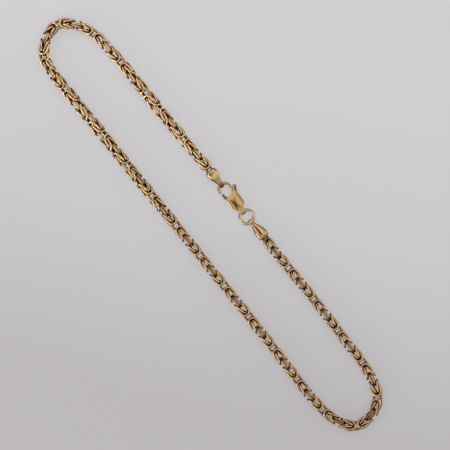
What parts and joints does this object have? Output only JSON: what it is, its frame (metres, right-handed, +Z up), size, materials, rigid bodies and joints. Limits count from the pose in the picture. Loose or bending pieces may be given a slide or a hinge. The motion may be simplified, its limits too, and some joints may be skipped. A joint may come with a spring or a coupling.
{
  "type": "byzantine chain necklace",
  "caption": "Closed gold byzantine-link neck chain lying flat as a long loop, with bud-shaped end caps, a jump ring and a lobster clasp whose sprung lever opens.",
  "frame": {"origin": "middle of the outline of the lying loop, on the surface it lies on", "axes": "+X along the loop, from the clasp's hook towards its tail eye; +Y from the plain long side towards the side with the clasp; +Z up"},
  "size_m": [0.2168, 0.0342, 0.0048],
  "materials": {
    "chain_gold": "polished gold wire",
    "cap_gold": "polished gold",
    "clasp_gold": "polished gold"
  },
  "bodies": {
    "necklace": {"chain": "chain_gold", "end_cap_clasp": "cap_gold", "end_cap_ring": "cap_gold", "jump_ring": "clasp_gold", "clasp_body": "clasp_gold", "clasp_pin": "clasp_gold"},
    "lever": {"clasp_lever": "clasp_gold"}
  },
  "joints": [
    {"name": "lever_hinge", "type": "hinge", "parent": "necklace", "child": "lever", "pos_m": [-0.00164, 0.01246, 0.0016], "axis": [0, 0, -1], "range_deg": [0, 25], "stiffness_Nm_per_rad": 0.01}
  ]
}
